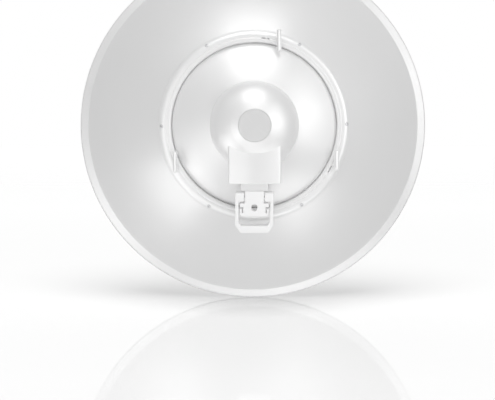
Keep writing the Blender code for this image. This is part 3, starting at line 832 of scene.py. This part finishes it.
@dataclass
class Hub(SubAssembly):
    """The dome, its round plate and the port housing under it."""

    dish: Dish = field(default_factory=Dish)
    radius: float = 0.0760
    height: float = 0.0600
    base: float = -0.0293
    cap_radius: float = 0.0272
    cap_thickness: float = 0.0016
    spigot: float = 0.0290
    port_half: float = 0.0446
    port_bottom: float = -0.0980
    port_front: float = -0.0766
    port_crown: float = 0.0060
    port_corner: float = 0.0040
    port_edge: float = 0.0012

    def dome_depth(self, radius: Points | float) -> Points | float:
        """Depth of the dome: its base less the height times the root of one less the radius share squared."""
        share = np.minimum(np.asarray(radius) / self.radius, 1.0)
        return self.base - self.height * np.sqrt(1.0 - np.square(share))

    def dome_section(self) -> Points:
        """Section of the dome from its top's pocket to the spigot's end.

        Returns:
            Rows of radius and depth, both ends on the axis.
        """
        lip = self.cap_radius + 0.0003
        lip_turn = math.acos(lip / self.radius)
        turn = np.linspace(0.0, lip_turn, 44)[::-1]
        outer = np.column_stack((self.radius * np.cos(turn), self.base - self.height * np.sin(turn)))
        pocket = outer[0, 1] + self.cap_thickness
        mouth = rounded(np.array(((0.0, pocket), (lip, pocket), outer[0], outer[6])),
                        np.array((0.0, 0.0003, 0.0004, 0.0)) + 1e-6, 4, closed=False)[:-1]
        radii = np.linspace(self.radius, self.spigot, 10)
        foot = np.column_stack((radii, self.dish.back(radii) - 0.0002))
        end = self.dish.vertex + self.dish.skin
        tail = np.array(((self.spigot, end), (0.0, end)))
        return np.vstack((mouth, outer[6:], foot, tail))

    def cap_section(self) -> Points:
        """Section of the round plate, with a fine raised border.

        Returns:
            Rows of radius and depth, both ends on the axis.
        """
        lip = self.cap_radius + 0.0003
        pocket = float(self.dome_depth(lip)) + self.cap_thickness
        back = pocket - 0.0003
        front = back - self.cap_thickness
        corners = np.array((
            (0.0, back), (self.cap_radius, back), (self.cap_radius, front),
            (self.cap_radius - 0.0016, front), (self.cap_radius - 0.0020, front + 0.00025), (0.0, front + 0.00025),
        ))
        return rounded(corners, np.array((0.0, 0.0002, 0.0004, 0.0002, 0.0002, 0.0)) + 1e-6, 4, closed=False)

    def port_points(self) -> tuple[Points, list[list[int]]]:
        """Housing whose front bulges from side to side, cut off by the dome above and the dish behind.

        One parameter runs round the outline and the other up the housing. The front is an arc, the
        corners are rounded, the sides run back to the dish's own surface, and the top ends where
        the outline meets the dome's ellipsoid. At the foot the outline moves in along a quarter
        circle.

        Returns:
            Points about the dish axis and faces.
        """
        crown = (self.port_half ** 2 + self.port_crown ** 2) / (2 * self.port_crown)
        x = np.linspace(-self.port_half, self.port_half, 33)
        arc = np.column_stack((x, self.port_front + crown - np.sqrt(crown ** 2 - x ** 2)))
        corner_y = arc[0, 1]
        left = rounded(np.array(((-self.port_half, 0.0), arc[0], arc[3])), self.port_corner, 7, closed=False)[1:-1]
        right = left[::-1] * np.array((-1.0, 1.0))
        keep = arc[np.abs(arc[:, 0]) < abs(left[-1, 0]) - 0.001]
        front = np.vstack((left, keep, right))
        depth_share = np.linspace(0.0, 1.0, 13)[1:]
        side_y = front[0, 1]
        rear_x = np.linspace(self.port_half, -self.port_half, 19)[1:-1]
        names_x = np.concatenate((front[:, 0], np.full(12, self.port_half), rear_x, np.full(12, -self.port_half)))
        share = np.concatenate((np.zeros(len(front)), depth_share, np.ones(len(rear_x)), depth_share[::-1]))
        front_y = np.concatenate((front[:, 1], np.full(len(share) - len(front), side_y)))
        is_rear = share >= 1.0
        ring = len(share)

        def rear(x_values: Points, z_values: Points) -> Points:
            """Depth of the dish's back where the housing meets it, a little inside its skin."""
            return self.dish.back(np.hypot(x_values, z_values)) + 0.0006

        turn = np.linspace(math.pi / 2, 0.0, 6)
        steps_in = self.port_edge * (1 - np.cos(turn))
        foot_z = self.port_bottom + self.port_edge * (1 - np.sin(turn))
        flat = np.column_stack((names_x, np.where(is_rear, 0.0, front_y + share * (0.0 - front_y))))
        rings = []
        for distance, z in zip(steps_in, foot_z):
            loop = solid_left(flat)
            moved = inset(loop, np.full(ring, distance))
            moved = moved if np.allclose(loop, flat) else moved[::-1]
            y_rear = rear(names_x, np.full(ring, z))
            y = np.where(is_rear, y_rear, moved[:, 1] + share * (y_rear - 0.0))
            rings.append(np.column_stack((np.where(is_rear, names_x, moved[:, 0]), y, np.full(ring, z))))
        for rise in np.linspace(0.0, 1.0, 15)[1:]:
            y_low = front_y + share * (rear(names_x, np.full(ring, foot_z[-1])) - front_y)
            z_top = self.dome_edge(names_x, y_low)
            z = foot_z[-1] + rise * (z_top - foot_z[-1])
            y = front_y + share * (rear(names_x, z) - front_y)
            z_top = self.dome_edge(names_x, y)
            z = foot_z[-1] + rise * (z_top - foot_z[-1])
            rings.append(np.column_stack((names_x, y, z)))
        points = np.concatenate(rings)
        low = np.arange(ring)
        high = low + (len(rings) - 1) * ring
        faces = grid_faces(len(rings), ring, False, True).tolist() + [low.tolist()]
        middle = points[high].mean(0)
        faces += fan_faces(high, len(points)).tolist()
        LOG.debug("housing corner depth %.4f", corner_y)
        return np.vstack((points, middle)), faces

    def dome_edge(self, x: Points, y: Points) -> Points:
        """Height where an upright line at a side place and depth enters the dome, a little inside it."""
        share = np.clip((self.base - y) / self.height, 0.0, 0.999)
        reach = np.square(self.radius) * (1 - np.square(share)) - np.square(x)
        return -np.sqrt(np.maximum(reach, 0.0)) + 0.0006

    def build(self) -> None:
        """Make the dome, the plate and the housing."""
        points, faces = turned_solid(self.dome_section(), 192)
        dome = make_piece("hub_dome", points + AXIS, faces, self.finish(HUB_PLASTIC))
        self.place(dome, Body.ANTENNA, "hub_plastic", "hub_housing")
        points, faces = turned_solid(self.cap_section(), 128)
        cap = make_piece("hub_plate", points + AXIS, faces, self.finish(CAP_PLASTIC))
        self.place(cap, Body.ANTENNA, "cap_plastic", "hub_cap")
        points, faces = self.port_points()
        housing = make_piece("port_cover", points + AXIS, faces, self.finish(HUB_PLASTIC))
        self.place(housing, Body.ANTENNA, "hub_plastic", "port_housing")


@dataclass
class Latch(SubAssembly):
    """The neck, the tongue, the pull bail and its pin, in the latch's own tilted plane."""

    tilt: float = math.radians(35)
    pivot_y: float = -0.0403
    pivot_z: float = -0.1210
    neck_half: float = 0.0235
    neck_above: float = 0.0148
    neck_rear: float = 0.0120
    port_bottom: float = -0.0980
    tongue_half: float = 0.0040
    bail_half: float = 0.0035
    edge: float = 0.0009
    bail_edge: float = 0.0022

    def to_frame(self, points: Points) -> Points:
        """Move points from the latch's plane to the part's frame.

        Args:
            points: Rows of sideways place, distance up the latch, and height over its plane.

        Returns:
            Points in the part's frame.
        """
        side = np.array((1.0, 0.0, 0.0))
        up = np.array((0.0, -math.sin(self.tilt), math.cos(self.tilt)))
        out = np.array((0.0, -math.cos(self.tilt), -math.sin(self.tilt)))
        pivot = AXIS + np.array((0.0, self.pivot_y, self.pivot_z))
        return points[:, :1] * side + points[:, 1:2] * up + points[:, 2:] * out + pivot

    def tongue_outline(self) -> Points:
        """Half outline of the tongue, its head and the spring finger, mirrored to the other side.

        Returns:
            The rounded closed outline.
        """
        half = np.array((
            (0.0160, self.neck_above - 0.0003, 0.0010), (0.0160, -0.0120, 0.0012), (0.0247, -0.0120, 0.0010),
            (0.0247, -0.0198, 0.0009), (0.0191, -0.0198, 0.0009), (0.0191, -0.0333, 0.0010),
            (0.0216, -0.0333, 0.0010), (0.0216, -0.0236, 0.0009), (0.0247, -0.0236, 0.0009),
            (0.0247, -0.0358, 0.0030), (0.0214, -0.0398, 0.0020),
        ))
        whole = np.vstack((half, half[::-1] * np.array((-1.0, 1.0, 1.0))))
        return rounded(whole[:, :2], whole[:, 2], 5)

    def bail_outline(self) -> Points:
        """Half outline of the bail's ear, bar and grip, mirrored to the other side.

        Returns:
            The rounded closed outline.
        """
        outer = np.array((
            (0.0174, 0.0105, 0.0024), (0.0328, 0.0105, 0.0034), (0.0328, -0.0615, 0.0060), (0.0248, -0.0785, 0.0050),
        ))
        inner = np.array((
            (0.0235, -0.0618, 0.0030), (0.0267, -0.0533, 0.0040), (0.0267, -0.0093, 0.0023), (0.0174, -0.0093, 0.0023),
        ))
        mirror = np.array((-1.0, 1.0, 1.0))
        whole = np.vstack((outer, outer[::-1] * mirror, inner[::-1] * mirror, inner))
        return rounded(whole[:, :2], whole[:, 2], 6)

    def slot_outline(self) -> Points:
        """Outline of the long hole in the tongue's head.

        Returns:
            The closed outline.
        """
        corners = np.array(((-0.0050, -0.0143), (0.0050, -0.0143), (0.0050, -0.0290), (-0.0050, -0.0290)))
        return rounded(corners, 0.00499, 12)

    def neck_points(self) -> tuple[Points, list[list[int]]]:
        """Wedge between the housing's foot and the tongue, extruded from side to side.

        Returns:
            Points in the part's frame and faces.
        """
        sine, cosine = math.sin(self.tilt), math.cos(self.tilt)

        def spot(along: float, out: float) -> tuple[float, float]:
            """Depth and height of a place in the latch's plane."""
            return (self.pivot_y + along * sine - out * cosine, self.pivot_z - along * cosine - out * sine)

        top = self.port_bottom - 0.0002
        front, rear = spot(-self.neck_above, self.tongue_half), spot(-self.neck_above, -self.neck_rear)
        corners = np.array(((front[0], top), front, rear, (rear[0], top)))
        points, faces = plate([rounded(corners, np.array((0.0003, 0.0010, 0.0010, 0.0003)), 4)],
                              self.neck_half, 0.0010, 4)
        return points[:, [2, 0, 1]] + AXIS, faces

    def pin_points(self) -> tuple[Points, list[list[int]]]:
        """Steel pin along the hinge, with a shallow domed end on each side.

        Returns:
            Points in the part's frame and faces.
        """
        end, radius = 0.0320, 0.0020
        corners = np.array(((0.0, -end), (radius, -end), (radius, end), (0.0, end)))
        section = rounded(corners, np.array((0.0, 0.0006, 0.0006, 0.0)) + 1e-6, 4, closed=False)
        points, faces = turned_solid(section, 32)
        pivot = AXIS + np.array((0.0, self.pivot_y, self.pivot_z))
        return points[:, [1, 0, 2]] + pivot, faces

    def build(self) -> None:
        """Make the neck, the tongue, the bail and the pin."""
        points, faces = self.neck_points()
        neck = make_piece("latch_wedge", points, faces, self.finish(HUB_PLASTIC))
        self.place(neck, Body.ANTENNA, "hub_plastic", "latch_neck")
        points, faces = plate([self.tongue_outline(), self.slot_outline()], self.tongue_half, self.edge)
        tongue = make_piece("latch_plate", self.to_frame(points), faces, self.finish(LATCH_PLASTIC))
        self.place(tongue, Body.ANTENNA, "latch_plastic", "latch_tongue")
        points, faces = plate([self.bail_outline()], self.bail_half, self.bail_edge, 7)
        bail = make_piece("pull_bail", self.to_frame(points), faces, self.finish(LATCH_PLASTIC))
        self.place(bail, Body.BAIL, "latch_plastic", "bail")
        points, faces = self.pin_points()
        pin = make_piece("hinge_pin", points, faces, self.finish(PIN_STEEL))
        self.place(pin, Body.ANTENNA, "pin_steel", "bail_pin")


@dataclass
class Feed(SubAssembly):
    """The feed at the focus: flange, tube, cone, small reflector and cap."""

    dish: Dish = field(default_factory=Dish)
    flange_radius: float = 0.0480
    flange_thickness: float = 0.0050
    spigot: float = 0.0290
    tube_radius: float = 0.0210
    tube_end: float = 0.0340
    cone_end: float = 0.0620
    plate_radius: float = 0.0460
    plate_thickness: float = 0.0040
    cap_height: float = 0.0120
    gap: float = 0.0003

    def flange_section(self) -> Points:
        """Section of the flange on the dish's front, with its spigot through the hole."""
        radii = np.linspace(self.dish.hole_radius, self.flange_radius, 6)
        slope = self.dish.slope(radii)
        foot = np.column_stack((radii - 0.003 * np.sin(slope), self.dish.back(radii) + 0.003 * np.cos(slope) + 0.0006))
        top = foot[-1, 1] + self.flange_thickness - 0.0001
        start = self.dish.vertex + self.dish.skin + self.gap
        corners = np.vstack((((0.0, start), (foot[0, 0], start)), foot, ((foot[-1, 0], top), (0.0, top))))
        radius = np.full(len(corners), 1e-6)
        radius[-2] = 0.0014
        return rounded(corners, radius, 4, closed=False)

    def tube_section(self, start: float) -> Points:
        """Section of the tube, with two shallow rings turned in it.

        Args:
            start: Depth where the tube begins.

        Returns:
            Rows of radius and depth, both ends on the axis.
        """
        along = np.linspace(start, self.tube_end, 60)
        rings = np.exp(-np.square((along - start - 0.006) / 0.0008)) + np.exp(-np.square((self.tube_end - 0.006 - along) / 0.0008))
        wall = np.column_stack((self.tube_radius - 0.0006 * rings, along))
        return np.vstack(((0.0, start), wall, (0.0, self.tube_end)))

    def simple_section(self, corners: tuple[tuple[float, float], ...], radius: float) -> Points:
        """Section with its middle corners rounded.

        Args:
            corners: Radius and depth of each corner, both ends on the axis.
            radius: Radius of the rounded corners.

        Returns:
            Rows of radius and depth.
        """
        radii = np.full(len(corners), radius)
        radii[[0, -1]] = 1e-6
        return rounded(np.array(corners), radii, 5, closed=False)

    def build(self) -> None:
        """Make the five pieces, from the dish outwards."""
        flange = self.flange_section()
        top = flange[-1, 1]
        tube = self.tube_section(top + self.gap)
        cone_start = self.tube_end + self.gap
        cone = self.simple_section(((0.0, cone_start), (0.0190, cone_start), (0.0420, self.cone_end),
                                    (0.0, self.cone_end)), 0.0006)
        plate_start = self.cone_end + self.gap
        plate_end = plate_start + self.plate_thickness
        disc = self.simple_section(((0.0, plate_start), (self.plate_radius, plate_start),
                                    (self.plate_radius, plate_end), (0.0, plate_end)), 0.0008)
        turn = np.linspace(0.0, math.pi / 2, 20)[:, None]
        wall_end = plate_end + self.gap + 0.0020
        cap = np.hstack((self.plate_radius * np.cos(turn), wall_end + (self.cap_height - 0.0020) * np.sin(turn)))
        cap[-1, 0] = 0.0
        cap = np.vstack(((0.0, plate_end + self.gap), (self.plate_radius, plate_end + self.gap), cap))
        rows = (
            ("feed_base", flange, FEED_PLASTIC, "feed_plastic", "feed_flange"),
            ("feed_pipe", tube, FEED_PLASTIC, "feed_plastic", "feed_tube"),
            ("feed_horn", cone, FEED_PLASTIC, "feed_plastic", "feed_cone"),
            ("feed_disc", disc, FEED_METAL, "feed_metal", "sub_reflector"),
            ("feed_cover", cap, FEED_PLASTIC, "feed_plastic", "feed_cap"),
        )
        for name, section, kind, slot, node in rows:
            points, faces = turned_solid(section, 96)
            piece = make_piece(name, points + AXIS, faces, self.finish(kind))
            self.place(piece, Body.ANTENNA, slot, node)


@dataclass(frozen=True)
class SoftBox:
    """One large soft lamp, aimed at the middle of the dish.

    Attributes:
        polar: Degrees from the line that runs straight back from the dish.
        roll: Degrees round that line, from the right towards the top.
        power: Watts.
        size: Length of its sides.
        reach: Distance from the middle of the dish.
    """

    polar: float
    roll: float
    power: float
    size: float = 1.7
    reach: float = 2.6

    def build(self, name: str, receivers: bpy.types.Collection) -> None:
        """Make the lamp.

        Args:
            name: The lamp's name.
            receivers: What it does and doesn't light.
        """
        data = bpy.data.lights.new(name, "AREA")
        data.shape = "SQUARE"
        data.size = self.size
        data.energy = self.power
        polar, roll = math.radians(self.polar), math.radians(self.roll)
        toward = Vector((math.sin(polar) * math.cos(roll), -math.cos(polar), math.sin(polar) * math.sin(roll)))
        lamp = bpy.data.objects.new(name, data)
        bpy.context.scene.collection.objects.link(lamp)
        lamp.location = Vector(AXIS) + toward * self.reach
        lamp.rotation_euler = (-toward).to_track_quat("-Z", "Y").to_euler()
        lamp.light_linking.receiver_collection = receivers


@dataclass
class Studio:
    """White floor, a tent of soft light all round, and the camera at the photograph's place."""

    floor_height: float = -0.47565
    floor_radius: float = 14.0
    floor_white: float = 0.80
    floor_gloss: float = 0.03
    floor_shine: float = 0.12
    floor_light: float = 2.42
    floor_light_tilt: float = math.radians(28)
    floor_light_spread: float = math.radians(48)
    camera_place: tuple[float, float, float] = (-0.0260, -2.1993, -0.14365)
    lens: float = 92.64
    shift: tuple[float, float] = (0.0170, -0.1592)
    lamps: tuple[SoftBox, ...] = (
        SoftBox(28, 0, 3.2), SoftBox(28, 210, 8.6), SoftBox(52, 0, 9.2), SoftBox(52, 30, 7.6),
        SoftBox(52, 90, 10.9), SoftBox(52, 210, 5.0), SoftBox(52, 270, 7.2), SoftBox(76, 90, 14.0),
        SoftBox(76, 120, 2.5), SoftBox(82, 220, 11.0), SoftBox(76, 300, 8.4),
    )
    sky: float = 0.507
    backdrop: float = 1.0
    backdrop_edge: tuple[float, float] = (0.5, 0.9)

    def floor(self) -> bpy.types.Object:
        """Make the round white floor, which lets the tent's light reach the dish from below.

        Returns:
            The floor.
        """
        segments, rings = 96, 24
        angle = np.linspace(0.0, 2 * math.pi, segments, endpoint=False)[None, :]
        radius = self.floor_radius * np.linspace(0.02, 1.0, rings)[:, None] ** 2
        x, y = radius * np.cos(angle), radius * np.sin(angle)
        points = np.stack((x, y, np.full_like(x, self.floor_height)), -1).reshape(-1, 3)
        points = np.vstack((points, (0.0, 0.0, self.floor_height)))
        faces = grid_faces(rings, segments, False, True).tolist()
        faces += fan_faces(np.arange(segments), len(points) - 1).tolist()
        mesh = bpy.data.meshes.new("floor")
        mesh.from_pydata(points.tolist(), [], faces)
        made = bpy.data.materials.new("floor_white")
        made.use_nodes = True
        shader = made.node_tree.nodes["Principled BSDF"]
        shader.inputs["Base Color"].default_value = (self.floor_white, self.floor_white, self.floor_white, 1.0)
        shader.inputs["Roughness"].default_value = self.floor_gloss
        shader.inputs["Specular IOR Level"].default_value = self.floor_shine
        mesh.materials.append(made)
        floor = bpy.data.objects.new("floor", mesh)
        floor.visible_diffuse = floor.visible_glossy = floor.visible_shadow = False
        bpy.context.scene.collection.objects.link(floor)
        return floor

    def receivers(self, name: str, floor: bpy.types.Object, state: str) -> bpy.types.Collection:
        """Make the list that keeps a lamp on or off the floor.

        Args:
            name: The list's name.
            floor: The floor.
            state: Whether the floor is the one thing lit or the one thing left out.

        Returns:
            The list.
        """
        listed = bpy.data.collections.new(name)
        listed.objects.link(floor)
        listed.collection_objects[0].light_linking.link_state = state
        return listed

    def floor_lamp(self, receivers: bpy.types.Collection) -> None:
        """Make the wide overhead light that draws the soft shadow under the dish.

        Args:
            receivers: What it lights.
        """
        data = bpy.data.lights.new("overhead", "SUN")
        data.energy = self.floor_light
        data.angle = self.floor_light_spread
        lamp = bpy.data.objects.new("overhead", data)
        lamp.rotation_euler = (self.floor_light_tilt, 0.0, 0.0)
        bpy.context.scene.collection.objects.link(lamp)
        lamp.light_linking.receiver_collection = receivers

    def world(self) -> None:
        """Make the soft tent: white to look at, dimmer as light, and white again far past the dish."""
        world = bpy.data.worlds.new("studio")
        bpy.context.scene.world = world
        world.use_nodes = True
        tree = world.node_tree
        tree.nodes.clear()
        out = tree.nodes.new("ShaderNodeOutputWorld")
        seen = tree.nodes.new("ShaderNodeBackground")
        seen.inputs["Strength"].default_value = 1.0
        seen.inputs["Color"].default_value = (1.0, 1.0, 1.0, 1.0)
        soft = tree.nodes.new("ShaderNodeBackground")
        soft.inputs["Color"].default_value = (1.0, 1.0, 1.0, 1.0)
        place = tree.nodes.new("ShaderNodeTexCoord")
        split = tree.nodes.new("ShaderNodeSeparateXYZ")
        ramp = tree.nodes.new("ShaderNodeMapRange")
        ramp.interpolation_type = "SMOOTHSTEP"
        ramp.inputs["From Min"].default_value, ramp.inputs["From Max"].default_value = self.backdrop_edge
        ramp.inputs["To Min"].default_value = self.sky
        ramp.inputs["To Max"].default_value = self.backdrop
        tree.links.new(place.outputs["Generated"], split.inputs["Vector"])
        tree.links.new(split.outputs["Y"], ramp.inputs["Value"])
        tree.links.new(ramp.outputs["Result"], soft.inputs["Strength"])
        path = tree.nodes.new("ShaderNodeLightPath")
        mix = tree.nodes.new("ShaderNodeMixShader")
        tree.links.new(path.outputs["Is Camera Ray"], mix.inputs["Fac"])
        tree.links.new(soft.outputs["Background"], mix.inputs[1])
        tree.links.new(seen.outputs["Background"], mix.inputs[2])
        tree.links.new(mix.outputs["Shader"], out.inputs["Surface"])

    def camera(self) -> None:
        """Make the level camera, shifted as the photograph's framing needs."""
        data = bpy.data.cameras.new("camera")
        data.lens = self.lens
        data.sensor_width = 36.0
        data.shift_x, data.shift_y = self.shift
        data.clip_start, data.clip_end = 0.05, 60.0
        camera = bpy.data.objects.new("camera", data)
        camera.location = self.camera_place
        camera.rotation_euler = (math.pi / 2, 0.0, 0.0)
        bpy.context.scene.collection.objects.link(camera)
        bpy.context.scene.camera = camera

    def build(self) -> None:
        """Make the studio."""
        floor = self.floor()
        self.world()
        self.floor_lamp(self.receivers("floor_only", floor, "INCLUDE"))
        all_but_floor = self.receivers("all_but_floor", floor, "EXCLUDE")
        for index, lamp in enumerate(self.lamps):
            lamp.build(f"soft_box_{index + 1}", all_but_floor)
        self.camera()
        bpy.context.scene.view_settings.view_transform = "Standard"


def main() -> None:
    """Build the studio and every sub-assembly in order."""
    logging.basicConfig(level=logging.INFO, format="%(name)s %(message)s")
    Studio().build()
    dish = Dish()
    dish.build()
    for assembly in (Collar(dish=dish), Hub(dish=dish), Latch(), Feed(dish=dish)):
        assembly.build()


if __name__ == "__main__":
    main()
